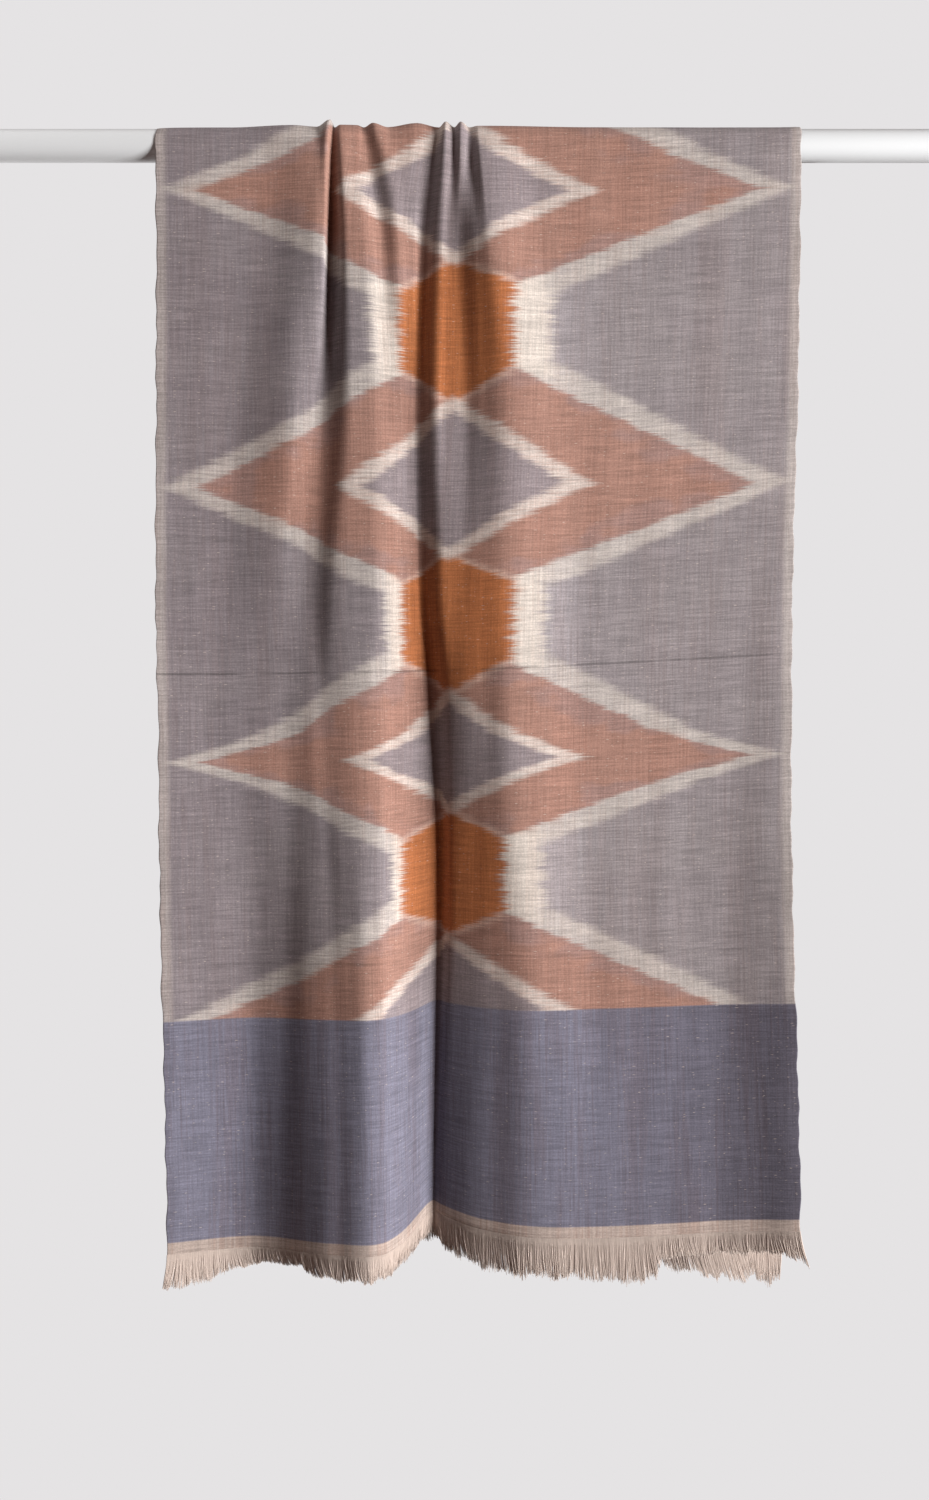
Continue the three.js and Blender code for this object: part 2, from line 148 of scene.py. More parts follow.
# %% Fold lines in front
# Each row: the line's name, where it runs (right of the middle) and how far it stands out, both at
# the drops below the rod's top that the first table lists.
FRONT_DROPS = [0, 45, 120, 280, 440, 560, 700, 1048]
FRONT_LINES = [
    ("left selvedge",
     [-301, -301, -300, -300, -300, -297, -295, -287], [0, 0, 1, 2, 5, 8, 12, 18]),
    ("left hollow",
     [-236, -208, -212, -226, -236, -240, -212, -214], [0, 0, 0, -1, 0, 0, 0, 3]),
    ("left swell",
     [-176, -162, -163, -172, -184, -184, -180, -188], [2, 5, 9.5, 9, 5, 1, 5.5, 10]),
    ("left dip",
     [-152, -148, -149, -161, -169, -168, -157, -157], [0, 7, 12.5, 6, 4.5, 3.5, 12.5, 27]),
    ("pleat left lip",
     [-139, -142, -143.5, -153, -161, -159, -146, -139], [7, 9, 12, 3, 4.5, 5.3, 15.5, 35]),
    ("pleat floor",
     [-135, -137, -139, -144, -153, -150, -137, -127], [0, 0, -5, 0.5, 5.5, 7, 17.5, 39]),
    ("pleat right lip",
     [-130, -127, -123, -119, -133, -138, -125, -113], [2, 8, 13, 13.5, 14, 9.5, 21, 44]),
    ("left panel",
     [-114, -113, -106, -99, -97, -104, -106, -99], [2, 4, 13, 14, 18, 15, 25, 46]),
    ("slant hollow",
     [-108, -102, -90, -82, -80, -92, -92, -87], [0, 0, 5, 9, 12, 12.5, 23, 42]),
    ("slant crest",
     [-100, -87, -76, -73, -70, -79, -79, -76], [4, 6, 9, 6.5, 7.5, 5, 11, 29]),
    ("dent",
     [-86, -75, -66, -68, -64, -67, -66, -65], [0, 4, 5, 5, 5.5, -1, 1, 18.5]),
    ("round top",
     [-58, -62, -60, -63, -59, -54, -52, -53], [4, 3, 3, 4, 4, -6, -4, 9.5]),
    ("main floor",
     [-37, -43, -53, -57, -55, -43, -35, -42], [0, 0, -2, 2, 1, -9, -8, -1]),
    ("main lip",
     [-31, -32, -35, -38.5, -35, -28, -27, -36], [5, 9, 9.5, 14, 14.5, 7, 3, 4.5]),
    ("lip shelf",
     [-23, -24, -28, -30, -25, -19, -14, -24], [0, 4, 8, 12.5, 16.5, 12, 10, 12.5]),
    ("small crest",
     [-17, -17, -19, -15, -14, -8, -3, -8], [5, 9, 8.5, 13, 19, 16.5, 15, 21]),
    ("second floor",
     [-9, -8.5, -3, 1, -3, 3, 8, 12], [0, 3.5, 17.5, 19, 22, 20, 19.5, 29]),
    ("second lip",
     [-1, 2, 10, 28, 24, 30, 38, 60], [1, 10.5, 22, 26, 27, 26, 27, 41]),
    ("broad crest",
     [112, 60, 62, 88, 92, 100, 104, 124], [0, 2, 9, 14, 13, 12, 14, 42]),
    ("right hollow",
     [233, 233, 238, 230, 230, 225, 210, 212], [0, 0, 1, 5, 6, 7, 11, 43]),
    ("right selvedge",
     [301, 300, 299, 296, 291, 289, 287, 287], [0, 0, 0, 3, 5, 10, 20, 58]),
]

# %% Fold lines behind
BACK_DROPS = [0, 150, 500, 1034]
BACK_LINES = [
    ("left selvedge", [-301, -300, -297, -292], [0, 0, 4, 16]),
    ("left hollow", [-215, -215, -210, -205], [0, 0, 0, 2]),
    ("left crest", [-120, -118, -112, -108], [0, 3, 9, 30]),
    ("middle hollow", [-20, -20, -18, -12], [0, 0, 1, 3]),
    ("right crest", [85, 85, 90, 96], [0, 3, 8, 27]),
    ("right hollow", [205, 205, 208, 210], [0, 0, 0, 4]),
    ("right selvedge", [301, 300, 297, 291], [0, 0, 5, 18]),
]
PLEAT_DROPS = [0, 45, 130, 280, 430, 600]
PLEAT_DEPTHS = [1, 1.25, 1.5, 0.9, 0.3, 0]
print(len(FRONT_LINES), "fold lines in front,", len(BACK_LINES), "behind")

# %% A cubic that never overshoots
def smooth(places, values, at, straight_ends=False):
    """Values at new places, along the last axis. Each slope is nought at a crest or hollow and the
    weighted harmonic mean of the neighbouring slopes elsewhere, so the cubic between two values
    stays between them. The ends are level, or they keep the slope of the last span."""
    places, values, at = (np.asarray(x, float) for x in (places, values, at))
    shape = np.broadcast_shapes(places.shape[:-1], values.shape[:-1], at.shape[:-1])
    places = np.broadcast_to(places, (*shape, places.shape[-1]))
    values = np.broadcast_to(values, (*shape, values.shape[-1]))
    at = np.clip(np.broadcast_to(at, (*shape, at.shape[-1])), places[..., :1], places[..., -1:])
    span = np.diff(places)
    rise = np.diff(values) / span
    before, after = rise[..., :-1], rise[..., 1:]
    weight_before = 2 * span[..., 1:] + span[..., :-1]
    weight_after = span[..., 1:] + 2 * span[..., :-1]
    same = before * after > 0
    mean = (weight_before + weight_after) / (
        weight_before / np.where(same, before, 1) + weight_after / np.where(same, after, 1)
    )
    slope = np.zeros_like(places)
    slope[..., 1:-1] = np.where(same, mean, 0)
    if straight_ends:
        slope[..., 0], slope[..., -1] = rise[..., 0], rise[..., -1]
    i = (at[..., :, None] >= places[..., None, 1:-1]).sum(-1)
    start, width = np.take_along_axis(places, i, -1), np.take_along_axis(span, i, -1)
    low, high = np.take_along_axis(values, i, -1), np.take_along_axis(values, i + 1, -1)
    slope_low, slope_high = np.take_along_axis(slope, i, -1), np.take_along_axis(slope, i + 1, -1)
    t = (at - start) / width
    s = 1 - t
    ends = low * s * s * (1 + 2 * t) + high * t * t * (3 - 2 * t)
    return ends + width * t * s * (slope_low * s - slope_high * t)


# %% Where the columns run and how far out the cloth stands
def columns_of(widest, fewest):
    """Column numbers: a fold line's number plus an even share of the way to the next line."""
    spans = np.diff(np.array([line[1] for line in FRONT_LINES]), axis=0).max(1)
    counts = np.maximum(fewest, np.round(spans / widest)).astype(int)
    return np.concatenate([i + np.arange(n) / n for i, n in enumerate(counts)] + [[len(counts)]])


def drape(down, columns):
    """Across and out for every row and column. In front the section follows the fold lines; behind
    it is the pleats' section on the rod, deepened and then fading, plus the broad waves."""
    line = np.minimum(columns.astype(int), len(FRONT_LINES) - 2)
    share = columns - line
    ahead = np.maximum(down, 0)
    run = smooth(FRONT_DROPS, np.array([row[1] for row in FRONT_LINES]), ahead[None]).T
    out = smooth(FRONT_DROPS, np.array([row[2] for row in FRONT_LINES]), ahead[None]).T
    across = run[:, line] * (1 - share) + run[:, line + 1] * share
    front = smooth(run, out, across, straight_ends=True)
    behind = np.maximum(-down, 0)
    back_run = smooth(BACK_DROPS, np.array([row[1] for row in BACK_LINES]), behind[None]).T
    back_out = smooth(BACK_DROPS, np.array([row[2] for row in BACK_LINES]), behind[None]).T
    edge = np.where(across < 0, -back_run[:, :1], back_run[:, -1:])
    depth = smooth(PLEAT_DROPS, PLEAT_DEPTHS, behind)[:, None]
    back_across = across * edge / HALF_WIDTH
    back = front * depth + smooth(back_run, back_out, back_across, straight_ends=True)
    is_back = (down < 0)[:, None]
    return np.where(is_back, back_across, across), np.where(is_back, back, front)


# %% From the fold section to a point in space
FLOOR_LINE = [row[0] for row in FRONT_LINES].index("main floor")


def hang(across, down, out):
    """Points of the sheet. The path is a thread's distance from the rod's top line, less the skew
    of the hang there and the draw of the deep hollow on the front hem. It bends round the rod and
    then falls plumb."""
    down = np.broadcast_to(down, across.shape)
    share = np.abs(down) / FRONT_LENGTH
    left, right = (
        smooth(SKEW_DROPS, SKEWS[side], down[:, 0])[:, None] for side in ("left", "right")
    )
    skew = np.where(across < 0, left, right)
    floor = smooth(FRONT_DROPS, FRONT_LINES[FLOOR_LINE][1], np.maximum(down[:, 0], 0))[:, None]
    aside = across - floor
    fade = np.where(
        aside < 0,
        np.exp(-((aside / LIFT_LEFT_REACH) ** 2)),
        np.exp(-np.abs(aside) / LIFT_RIGHT_REACH),
    )
    path = down - skew * across / HALF_WIDTH - np.where(down > 0, HEM_LIFT * fade * share**4, 0)
    quarter = BEND_RADIUS * math.pi / 2
    bend = np.clip(path, -quarter, quarter) / BEND_RADIUS
    fall = np.maximum(np.abs(path) - quarter, 0)
    radius = BEND_RADIUS + out
    return np.stack([across, -radius * np.sin(bend), radius * np.cos(bend) - fall], -1)


# %% The grid of the sheet
def even_rows(start, end, step):
    """Evenly spaced places down the cloth, without the last one."""
    return np.linspace(start, end, round(abs(end - start) / step), endpoint=False)


BEND_REACH = 30
rows = np.concatenate(
    [
        even_rows(-BACK_LENGTH, -BEND_REACH, 9.5),
        even_rows(-BEND_REACH, BEND_REACH, 2.7),
        even_rows(BEND_REACH, FRONT_LENGTH, 6.1),
        [FRONT_LENGTH],
    ]
)
columns = columns_of(widest=5.2, fewest=5)
RIM = 0.012  # a last narrow column along each selvedge
columns = np.sort(np.append(columns, [RIM, columns[-1] - RIM]))
across, out = drape(rows, columns)
print("sheet grid:", len(rows), "rows of", len(columns), "columns")

# %% [markdown]
# Which thread lies where? Between two columns runs at least the section's own length of cloth. The
# rest of the flat width is tucked into the pleats, and the fold table says which of them takes how
# much. The result is the thread's place in the flat cloth, from -330 at the left selvedge to +330
# at the right one, and the dyed pattern follows it.

# %% Thread places
# How the width that the sections don't use is shared among the pleats: each from the named line to
# the next one.
TUCKS_ON_ROD = [
    ("left dip", 0.05),
    ("pleat left lip", 0.25),
    ("pleat floor", 0.25),
    ("slant hollow", 0.03),
    ("main floor", 0.17),
    ("main lip", 0.03),
    ("lip shelf", 0.05),
    ("small crest", 0.07),
    ("second floor", 0.1),
]
TUCKS_AT_HEM = [
    ("left dip", 0.02),
    ("pleat left lip", 0.03),
    ("pleat floor", 0.05),
    ("pleat right lip", 0.1),
    ("left panel", 0.1),
    ("slant hollow", 0.1),
    ("slant crest", 0.1),
    ("dent", 0.1),
    ("round top", 0.1),
    ("main floor", 0.3),
]


def threads(across, out, down, columns):
    """Running sum of each section's length plus its share of the width tucked away."""
    length = np.hypot(np.diff(across), np.diff(out))
    line = np.minimum(columns.astype(int), len(FRONT_LINES) - 2)[:-1]
    top, hem = (
        np.array([dict(table).get(row[0], 0) for row in FRONT_LINES])[line] * np.diff(columns)
        for table in (TUCKS_ON_ROD, TUCKS_AT_HEM)
    )
    even = np.diff(across[0]) / np.ptp(across[0])
    ahead = np.clip(down / FRONT_LENGTH, 0, 1)[:, None]
    behind = np.clip(-down / 500, 0, 1)[:, None]
    shares = top / top.sum() * (1 - ahead) + hem / hem.sum() * ahead
    shares = shares * (1 - behind) + even * behind
    spare = FLAT_WIDTH - length.sum(1, keepdims=True)
    length = length + np.maximum(spare, 0) * shares
    length *= FLAT_WIDTH / length.sum(1, keepdims=True)
    start = np.full((len(down), 1), -FLAT_WIDTH / 2)
    return np.concatenate([start, start + np.cumsum(length, 1)], 1)


thread = threads(across, out, rows, columns)
print("tucked in on the rod:", round(FLAT_WIDTH - np.ptp(across[len(rows) // 2])), "mm")

# %% Small waves
# The loom leaves the selvedges scalloped, with uneven waves, and they flutter in and out a little.
# The cloth between them ripples faintly, but lies smooth on the rod.
SCALLOP = 0.5
FLUTTER = 0.9
RIPPLE = 0.32
down = rows[:, None]
in_from_edge = FLAT_WIDTH / 2 - np.abs(thread)
scallop = np.sin(down / 4.9 + 1.9 * np.sin(down / 37)) + np.sin(down / 11.3 + np.sign(thread))
across += SCALLOP * np.sign(thread) * scallop * np.exp(-in_from_edge / 5)
out += FLUTTER * np.sin(down / 23 + thread / 200) * np.exp(-in_from_edge / 14)
off_rod = np.clip(np.abs(down) / BEND_REACH - 1, 0, 1)
out += RIPPLE * off_rod * np.sin(thread / 7.1 + down / 260) * np.sin(down / 150 + thread / 75)
points = hang(across, down, out)

# %% The cloth piece
CLOTH_THICKNESS = 0.5
RIM_SHARE = 0.2  # of the thickness: the selvedge's rim is only a yarn thick
cloth = mesh_piece("stole_cloth", points.reshape(-1, 3) * MM, grid_quads(len(rows), len(columns)))
within = cloth.vertex_groups.new(name="full_thickness")
inner_points = np.arange(across.size).reshape(across.shape)[:, 2:-2]
within.add(inner_points.ravel().tolist(), 1.0, "REPLACE")
solidify = cloth.modifiers.new("thickness", "SOLIDIFY")
solidify.vertex_group = within.name
solidify.thickness_vertex_group = RIM_SHARE
solidify.thickness = CLOTH_THICKNESS * MM
solidify.offset = 0

uv = cloth.data.uv_layers.new(name="threads")
corner = np.empty(len(cloth.data.loops), np.int32)
cloth.data.loops.foreach_get("vertex_index", corner)
flat = np.stack([thread, np.broadcast_to(down, thread.shape)], -1).reshape(-1, 2) * MM
uv.data.foreach_set("uv", flat[corner].astype(np.float32).ravel())

# %% [markdown]
# ## The ikat pattern
# Ikat is dyed before it is woven: bundles of yarn are tied and dipped, and in the loom each pick of
# weft lands a few millimetres off its neighbours, so every edge is feathered sideways. The motif is
# a chain of long lozenges, each with a smaller one inside, joined by small hexagons. Its repeats
# are uneven, as hand-tied yarn makes them, so each vertex stores how many repeats down it lies.

# %% Repeats down the cloth
# How far down the cloth each number of repeats lies: whole numbers are lozenges' middles, halves
# are hexagons' middles, and the rest are where a repeat is drawn out or squeezed.
REPEATS = [
    (-1.0, -1006),
    (0.0, -746),
    (1.0, -486),
    (2.0, -226),
    (2.5, -82),
    (2.87, 44),
    (3.0, 76),
    (3.13, 106),
    (3.5, 203),
    (4.0, 349),
    (4.5, 473),
    (4.87, 580),
    (5.0, 601),
    (5.13, 622),
    (5.5, 708),
    (6.0, 840),
    (7.0, 1100),
]
HALF_REPEAT = 130
# Towards the right selvedge the ties slipped, so the dye lies lower there by this lag, or by half
# of it at the rod.
LAG = 10
slipped = LAG * np.clip((thread - 60) / 220, 0, 1) * np.clip(0.5 + down / 700, 0, 1)
numbers, places = np.array(REPEATS).T
motif = np.interp(down - slipped, places, numbers)
attribute = cloth.data.attributes.new("motif", "FLOAT", "POINT")
attribute.data.foreach_set("value", motif.ravel().astype(np.float32))
print("lozenges' middles:", [at for n, at in REPEATS if n == round(n)], "mm")

# %% Ikat-dyed plain weave
material = bpy.data.materials.new("ikat_dyed_plain_weave")
material.use_nodes = True
tree = material.node_tree
tree.nodes.clear()
lie = add(tree, "ShaderNodeUVMap", {"uv_map": "threads"})
mm = add(
    tree, "ShaderNodeVectorMath", {"operation": "SCALE"}, {0: lie.outputs[0], "Scale": 1 / MM}
)
split = add(tree, "ShaderNodeSeparateXYZ", None, {0: mm.outputs[0]})
u, v = split.outputs[0], split.outputs[1]


def streaks(across_mm, along_mm, detail=2):
    """Noise whose grains are so many millimetres long across and along the cloth, from 0 to 1."""
    stretched = add(
        tree, "ShaderNodeVectorMath", {"operation": "MULTIPLY"},
        {0: mm.outputs[0], 1: (1 / across_mm, 1 / along_mm, 0)},
    )
    return add(
        tree, "ShaderNodeTexNoise", {"noise_dimensions": "2D"},
        {"Vector": stretched.outputs[0], "Scale": 1, "Detail": detail, "Roughness": 0.65},
    ).outputs[0]


def ramp(value, low, high, to_low=0.0, to_high=1.0):
    """Smooth step from to_low to to_high while value goes from low to high."""
    return add(
        tree, "ShaderNodeMapRange", {"interpolation_type": "SMOOTHSTEP"},
        {"Value": value, "From Min": low, "From Max": high, "To Min": to_low, "To Max": to_high},
    ).outputs[0]


def maths(operation, *values):
    """One arithmetic step on outputs or numbers."""
    return add(tree, "ShaderNodeMath", {"operation": operation}, dict(enumerate(values))).outputs[0]


# %% Each pick lands a little to one side
PICK_FEATHER = 5.5  # spread of single picks, millimetres
BUNDLE_FEATHER = 3.5  # spread of the tied bundles of a few picks each, millimetres
single = ramp(streaks(38, 1.1), 0.2, 0.8, -PICK_FEATHER, PICK_FEATHER)
bundle = ramp(streaks(70, 5.5), 0.25, 0.75, -BUNDLE_FEATHER, BUNDLE_FEATHER)
moved = maths("ADD", maths("ADD", u, single), bundle)
aside = maths("ABSOLUTE", moved)
repeats = add(tree, "ShaderNodeAttribute", {"attribute_name": "motif"}).outputs["Fac"]
from_lozenge = maths("ABSOLUTE", maths("SUBTRACT", repeats, maths("ROUND", repeats)))
drop = maths("MULTIPLY", from_lozenge, 2 * HALF_REPEAT)

# %% Straight edges of the motif
# Each edge is where aside + slope * drop equals reach; the value is negative on its inner side.
EDGES = {
    "outer": (2.2, 323),
    "brown": (2.45, 293),
    "hexagon": (-2.35, -160),
    "white": (1.93, 141),
    "inner": (1.84, 112),
    "cream_side": (0, 97),
    "rust_side": (0, 68),
}
past = {
    name: maths("SUBTRACT", maths("MULTIPLY_ADD", drop, slope, aside), reach)
    for name, (slope, reach) in EDGES.items()
}

# %% Where the ties were uneven
# On the left the undyed sides narrow down the cloth, and on the right the hexagons above and below
# the middle one are narrower than it.
LEFT_NARROWING = 16
RIGHT_NARROWING = 7
MIDDLE_HEXAGON = 473
narrower = maths("MULTIPLY", ramp(u, -20, -40), ramp(v, 230, 700, 0, LEFT_NARROWING))
past["cream_side"] = maths("ADD", past["cream_side"], narrower)
from_hexagon = maths("ABSOLUTE", maths("SUBTRACT", v, MIDDLE_HEXAGON))
narrower = maths("MULTIPLY", ramp(u, 20, 40), ramp(from_hexagon, 120, 190, 0, RIGHT_NARROWING))
past["rust_side"] = maths("ADD", past["rust_side"], narrower)

# %% Regions made of several edges
# A smaller value of two is inside where either is, and a larger one where both are.
CREAM_FROM = 86  # the undyed sides lie this far and more from the lozenge's middle
HALO_REACH = 128  # and on the right a pale halo reaches this far from the cloth's middle
RESIST_HALF_WIDTH = 12
# Painted shade: the bands are painted darker from about here towards the right selvedge.
BAND_SHADE_FROM = 215  # the bands darken about here, towards the right selvedge
SELVEDGE_WIDTH = 9
half = (FRONT_LENGTH + BACK_LENGTH) / 2
from_middle = maths("ABSOLUTE", maths("SUBTRACT", v, (FRONT_LENGTH - BACK_LENGTH) / 2))
past["halo"] = maths("ADD", maths("SUBTRACT", aside, HALO_REACH), ramp(u, 0, -20, 0, 90))
past["outline"] = maths("MINIMUM", past["outer"], past["cream_side"])
past["cream"] = maths("MAXIMUM", past["cream_side"], maths("SUBTRACT", CREAM_FROM, drop))
past["ground"] = maths("MINIMUM", past["brown"], past["rust_side"])
past["ground_glow"] = maths("ADD", past["ground"], ramp(streaks(60, 45), 0.3, 0.7, -5, 60))
past["rust"] = maths("MAXIMUM", past["hexagon"], past["rust_side"])
resist_line = maths("SUBTRACT", maths("ABSOLUTE", past["hexagon"]), RESIST_HALF_WIDTH)
past["resist_line"] = maths("MAXIMUM", resist_line, past["rust_side"])
past["band"] = maths("SUBTRACT", half - STRIP_DEPTH - BAND_DEPTH, from_middle)
# Painted shade on the bands, towards the right selvedge.
past["band_painted_shade"] = maths(
    "MAXIMUM", maths("MULTIPLY", past["band"], 100), maths("SUBTRACT", BAND_SHADE_FROM, u)
)
past["strip"] = maths("SUBTRACT", half - STRIP_DEPTH, from_middle)
past["selvedge"] = maths("SUBTRACT", FLAT_WIDTH / 2 - SELVEDGE_WIDTH, maths("ABSOLUTE", u))

# %% Dyes, and one layer of painted shade, laid one over another from the field inwards
# Region, dye, how gradual its edge is in millimetres, and how strongly it takes.
DYES = [
    ("halo", "#a69fa2", 34, 0.45),
    ("outline", "#b8afa8", 10, 0.9),
    ("cream", "#c5bbb2", 8, 0.95),
    ("ground", "#93756d", 6, 1.0),
    ("ground_glow", "#a8714f", 22, 0.24),
    ("resist_line", "#c3a596", 12, 0.9),
    ("rust", "#a6663e", 8, 1.0),
    ("white", "#c6bdb6", 8, 0.9),
    ("inner", "#877c7e", 7, 1.0),
    ("selvedge", "#bdb3ab", 4, 0.4),
    ("band", "#716f7d", 0.8, 1.0),
    # painted shade: the bands darker towards the right selvedge
    ("band_painted_shade", "#5c5863", 100, 1.0),
    ("strip", "#ab9b92", 0.8, 1.0),
]
# The field carries painted light: it is a little lighter towards the right, the side where the key
# light stands. It is also blotched at random.
blotches = ramp(streaks(75, 55), 0.35, 0.65, -0.15, 0.15)
painted_light_and_blotches = maths("ADD", blotches, ramp(u, -240, 60, 0.12, 0.88))
field = add(
    tree, "ShaderNodeMix", {"data_type": "RGBA"},
    {0: painted_light_and_blotches, 6: linear("#7c7376"), 7: linear("#888081")},
)
shade = field.outputs[2]
taken = ramp(streaks(30, 1.3), 0.2, 0.75, 0.55, 1.0)  # how well each pick took the resist
for name, dye, softness, strength in DYES:
    inside = ramp(past[name], softness, -softness, 0.0, strength)
    if name in ("outline", "white", "resist_line"):
        inside = maths("MULTIPLY", inside, taken)
    layer = add(
        tree, "ShaderNodeMix", {"data_type": "RGBA"}, {0: inside, 6: shade, 7: linear(dye)}
    )
    shade = layer.outputs[2]
print(len(DYES), "layers of dye")

# %% The weave itself: warp lines, weft lines, slubs and a few dark picks
warp = ramp(streaks(1.7, 60), 0.2, 0.8, 0.88, 1.12)
weft = ramp(streaks(32, 1.5, 3), 0.25, 0.75, 0.83, 1.17)
grain = ramp(streaks(1.9, 1.5), 0.2, 0.8, 0.88, 1.12)
bars = ramp(streaks(160, 7), 0.3, 0.7, 0.95, 1.05)
slubs = ramp(streaks(4.5, 1.1, 0), 0.82, 0.88, 0.0, 0.35)
DARK_PICKS = [(520, 0.34), (-420, 0.25), (786, 0.2)]  # place down the cloth, strength
depth = maths("MULTIPLY", maths("MULTIPLY", warp, weft), maths("MULTIPLY", grain, bars))
broken = ramp(streaks(55, 30), 0.3, 0.6)
for at, strength in DARK_PICKS:
    near = ramp(maths("ABSOLUTE", maths("SUBTRACT", v, at)), 0.5, 1.6, strength, 0.0)
    depth = maths("MULTIPLY", depth, maths("SUBTRACT", 1.0, maths("MULTIPLY", near, broken)))
woven = add(tree, "ShaderNodeVectorMath", {"operation": "SCALE"}, {0: shade, "Scale": depth})
# Some warp yarns are browner, singly and in broad groups, and they show more in the bands.
brown_yarns = ramp(maths("ADD", streaks(2.6, 90), streaks(48, 500)), 0.9, 1.25)
brownness = maths("MULTIPLY", brown_yarns, ramp(past["band"], 0.8, -0.8, 0.16, 0.34))
brown_warp = add(
    tree, "ShaderNodeMix", {"data_type": "RGBA", "blend_type": "MULTIPLY"},
    {0: brownness, 6: woven.outputs[0], 7: linear("#e0c4b8")},
)
flecked = add(
    tree, "ShaderNodeMix", {"data_type": "RGBA"},
    {0: slubs, 6: brown_warp.outputs[2], 7: linear("#d6c6bb")},
)
height = maths("ADD", maths("MULTIPLY", warp, 0.5), maths("ADD", weft, grain))
bump = add(tree, "ShaderNodeBump", None, {"Height": height, "Strength": 0.22, "Distance": 0.0004})

surface = add(
    tree, "ShaderNodeBsdfPrincipled", None,
    {"Base Color": flecked.outputs[2], "Roughness": 0.85, "Diffuse Roughness": 0.3,
     "Specular IOR Level": 0.2, "Sheen Weight": 0.04, "Sheen Roughness": 0.5,
     "Normal": bump.outputs[0]},
)
add(tree, "ShaderNodeOutputMaterial", None, {0: surface.outputs[0]})
cloth.data.materials.append(material)

# %% Cloth calls
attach(cloth, "root")
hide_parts("cloth_over_rod", "front_field", "back_field", "front_end_band", "back_end_band")

# %% [markdown]
# ## The fringe
# Below the last pick the warp ends hang loose, thousands of fine soft yarns, so dense that they
# read as one soft edge with ragged tips. The fold table's idea serves here too: the length and the
# sideways sweep are read from a few places across the hem.

# %% Fringe tables
# Place across the flat cloth, length of the loose yarns there, and how far their tips are swept to
# the right.
FRONT_FRINGE = [
    (-330, 28, -3),
    (-312, 31, -1),
    (-287, 24, 2),
    (-258, 16, 3),
    (-238, 13, 4),
    (-203, 13, 5),
    (-190, 20, 6),
    (-160, 21, 3),
    (-118, 23, 1),
    (-92, 20, -2),
    (-60, 18, -3),
    (-20, 20, 2),
    (-4, 27, 4),
    (25, 31, 4),
    (60, 34, 3),
    (120, 34, 1),
    (165, 37, 1),
    (188, 40, 2),
    (196, 38, 4),
    (203, 20, 3),
    (260, 19, 2),
    (312, 19, 2),
    (325, 27, 4),
    (330, 33, 7),
]
BACK_FRINGE = [
    (-330, 26, 0),
    (-150, 30, -2),
    (0, 28, 2),
    (170, 32, 4),
    (225, 38, 8),
    (275, 42, 10),
    (292, 36, 6),
    (318, 44, 0),
    (330, 40, -6),
]
# The yarns part and gather as they fall: sideways waves along the hem, with their lengths and
# heights in millimetres.
GATHERS = [(4.3, 0.18), (7.9, 0.4), (16.0, 0.8), (41.0, 1.6)]

# %% Fringe yarns
YARNS = 3400
YARN_RADIUS = 0.52
YARN_RINGS = 6


def fringe(name, row, above, thread_row, table, salt):
    """Thin four-sided tubes from the woven edge. Each falls along the cloth by its length; it
    drifts sideways by its sweep and by the gathers, more and more towards its tip, and wriggles a
    little. row and above are the edge's points and those a row higher."""
    dice = np.random.default_rng(salt)
    place = np.linspace(-FLAT_WIDTH / 2 + 0.2, FLAT_WIDTH / 2 - 0.2, YARNS)
    root = np.stack([np.interp(place, thread_row, row[:, k]) for k in range(3)], -1)
    higher = np.stack([np.interp(place, thread_row, above[:, k]) for k in range(3)], -1)
    fall = root - higher
    fall /= np.linalg.norm(fall, axis=1, keepdims=True)
    along = np.gradient(root, axis=0)
    along /= np.linalg.norm(along, axis=1, keepdims=True)
    outward = np.cross(along, fall)
    length = np.interp(place, *np.array(table)[:, :2].T)
    uneven = 0.035 * np.sin(place / 2.1 + salt) + 0.05 * np.sin(place / 5.3)
    length *= 1 + uneven + dice.normal(0, 0.05, YARNS)
    sweep = np.interp(place, *np.array(table)[:, ::2].T)
    for wave, height in GATHERS:
        sweep += height * np.sin(2 * math.pi * (place / wave + dice.uniform()))
    sweep += dice.normal(0, 0.35, YARNS)
    wriggle = dice.uniform(0, 2 * math.pi, (2, YARNS, 1))
    layer = dice.normal(0, 0.3, YARNS)
    t = np.linspace(0, 1, YARN_RINGS)[None]
    fallen = length[:, None] * t - 1.5
    aside = sweep[:, None] * t**1.6 + 0.35 * t * np.sin(5 * t + wriggle[0])
    stand = layer[:, None] * t**0.5 + 0.3 * t * np.sin(4 * t + wriggle[1])
    line = sum(
        direction[:, None] * distance[..., None]
        for direction, distance in ((fall, fallen), (along, aside), (outward, stand))
    ) + root[:, None]
    radius = YARN_RADIUS * (1 - 0.6 * t[..., None, None] ** 2)
    turn = np.arange(4) * math.pi / 2
    ring = (
        along[:, None, None] * np.cos(turn)[None, None, :, None]
        + outward[:, None, None] * np.sin(turn)[None, None, :, None]
    )
    verts = (line[:, :, None] + radius * ring).reshape(-1, 3)
    at = np.arange(YARNS * YARN_RINGS * 4).reshape(YARNS, YARN_RINGS, 4)
    near, far = at, np.roll(at, -1, axis=2)
    sides = np.stack([near[:, :-1], far[:, :-1], far[:, 1:], near[:, 1:]], -1).reshape(-1, 4)
    caps = np.concatenate([at[:, 0, ::-1], at[:, -1]])
    piece = mesh_piece(name, verts * MM, np.concatenate([sides, caps]))
    tone = np.repeat(dice.uniform(0, 1, YARNS), YARN_RINGS * 4)
    attribute = piece.data.attributes.new("tone", "FLOAT", "POINT")
    attribute.data.foreach_set("value", tone.astype(np.float32))
    return piece


front_fringe = fringe("front_fringe_yarns", points[-1], points[-2], thread[-1], FRONT_FRINGE, 1)
back_fringe = fringe("back_fringe_yarns", points[0], points[1], thread[0], BACK_FRINGE, 2)

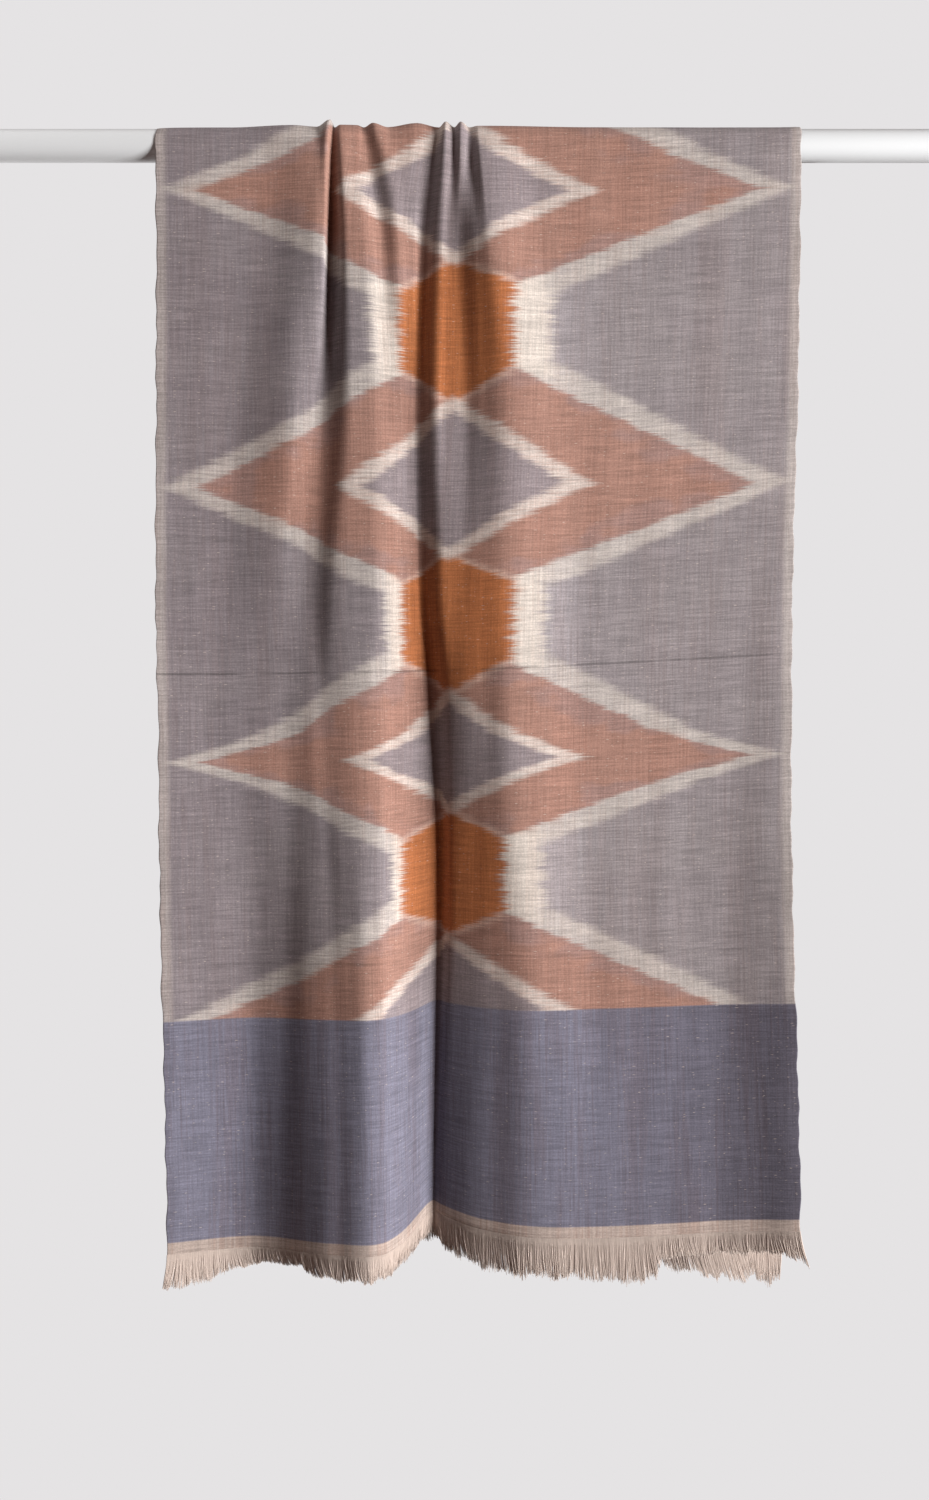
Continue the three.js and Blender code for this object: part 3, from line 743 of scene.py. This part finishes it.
# %% Undyed wool yarn
yarn = bpy.data.materials.new("undyed_wool_yarn")
yarn.use_nodes = True
yarn.node_tree.nodes.clear()
tone = add(yarn.node_tree, "ShaderNodeAttribute", {"attribute_name": "tone"})
mixed = add(
    yarn.node_tree, "ShaderNodeMix", {"data_type": "RGBA"},
    {0: tone.outputs["Fac"], 6: linear("#b8a89e"), 7: linear("#d3c4ba")},
)
surface = add(
    yarn.node_tree, "ShaderNodeBsdfPrincipled", None,
    {"Base Color": mixed.outputs[2], "Roughness": 0.9, "Diffuse Roughness": 1.0,
     "Specular IOR Level": 0.2, "Sheen Weight": 0.2},
)
add(yarn.node_tree, "ShaderNodeOutputMaterial", None, {0: surface.outputs[0]})
for piece, node in ((front_fringe, "front_fringe"), (back_fringe, "back_fringe")):
    piece.data.materials.append(yarn)
    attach(piece, "root")
    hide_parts(node)

# %% [markdown]
# ## The rod
# A turned softwood dowel, filled, sprayed with white lacquer and rubbed down.

# %% Sprayed white lacquer
lacquer = bpy.data.materials.new("sprayed_white_lacquer")
lacquer.use_nodes = True
lacquer.node_tree.nodes.clear()
surface = add(
    lacquer.node_tree, "ShaderNodeBsdfPrincipled", None,
    {"Base Color": linear("#cfd1d2"), "Roughness": 0.6, "IOR": 1.5},
)
add(lacquer.node_tree, "ShaderNodeOutputMaterial", None, {0: surface.outputs[0]})
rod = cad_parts["rod"]
rod.data.materials.clear()
rod.data.materials.append(lacquer)

# %% [markdown]
# ## Stage and light
# A grey floor lies well below, and a plain pale surround gives the even background. One large soft
# light stands to the right of the camera, so the folds' left flanks fall into shade. Thin cloth
# passes a warm glow into its hollows, and a weak warm surround stands for it. A second soft box
# lights the back from the left, and two small ones lift the rod.

# %% Floor
FLOOR_DROP = 2.0
FLOOR_RADIUS = 1.35
bpy.ops.mesh.primitive_circle_add(
    vertices=96, radius=FLOOR_RADIUS, fill_type="NGON", location=(0, 0, -FLOOR_DROP)
)
floor = bpy.context.object
floor.name = "floor"
paint = bpy.data.materials.new("matt_pale_floor_paint")
paint.use_nodes = True
paint.node_tree.nodes["Principled BSDF"].inputs["Base Color"].default_value = linear("#8a8889")
paint.node_tree.nodes["Principled BSDF"].inputs["Roughness"].default_value = 0.9
floor.data.materials.append(paint)

# %% Surround and lights
WARM_FILL = 0.08
world = bpy.data.worlds.new("pale_surround")
bpy.context.scene.world = world
world.use_nodes = True
world.node_tree.nodes.clear()
rays = add(world.node_tree, "ShaderNodeLightPath")
seen = add(world.node_tree, "ShaderNodeBackground", None, {0: linear("#e5e3e4"), 1: 1.0})
fill = add(world.node_tree, "ShaderNodeBackground", None, {0: linear("#e89a78"), 1: WARM_FILL})
chosen = add(
    world.node_tree, "ShaderNodeMixShader", None,
    {0: rays.outputs["Is Camera Ray"], 1: fill.outputs[0], 2: seen.outputs[0]},
)
add(world.node_tree, "ShaderNodeOutputWorld", None, {0: chosen.outputs[0]})


def soft_light(name, place, target, size, power):
    """A square soft box at a place, turned to face a target."""
    data = bpy.data.lights.new(name, "AREA")
    data.size = size
    data.energy = power
    light = bpy.data.objects.new(name, data)
    light.location = place
    toward = np.subtract(target, place)
    turn = math.atan2(toward[0], toward[1])
    tilt = math.atan2(toward[2], math.hypot(toward[0], toward[1]))
    light.rotation_euler = (math.pi / 2 + tilt, 0, -turn)
    light.visible_camera = False
    bpy.context.scene.collection.objects.link(light)


# name, place, target, size in metres, power in watts
LIGHTS = [
    ("key_light", (3.57, -2.0, -0.66), (0, 0, -0.6), 1.7, 406),
    ("overhead_light", (-0.6, -0.1, 1.6), (0, 0, 0), 1.0, 12),
    ("back_light", (-3.2, 2.7, -0.9), (0, 0, -0.55), 1.7, 300),
    ("rod_light", (-0.72, -0.3, 0.3), (-0.43, 0, 0), 0.25, 0.7),
]
for light in LIGHTS:
    soft_light(*light)
print(len(LIGHTS), "soft boxes")

# %% View transform
bpy.context.scene.view_settings.view_transform = "Standard"
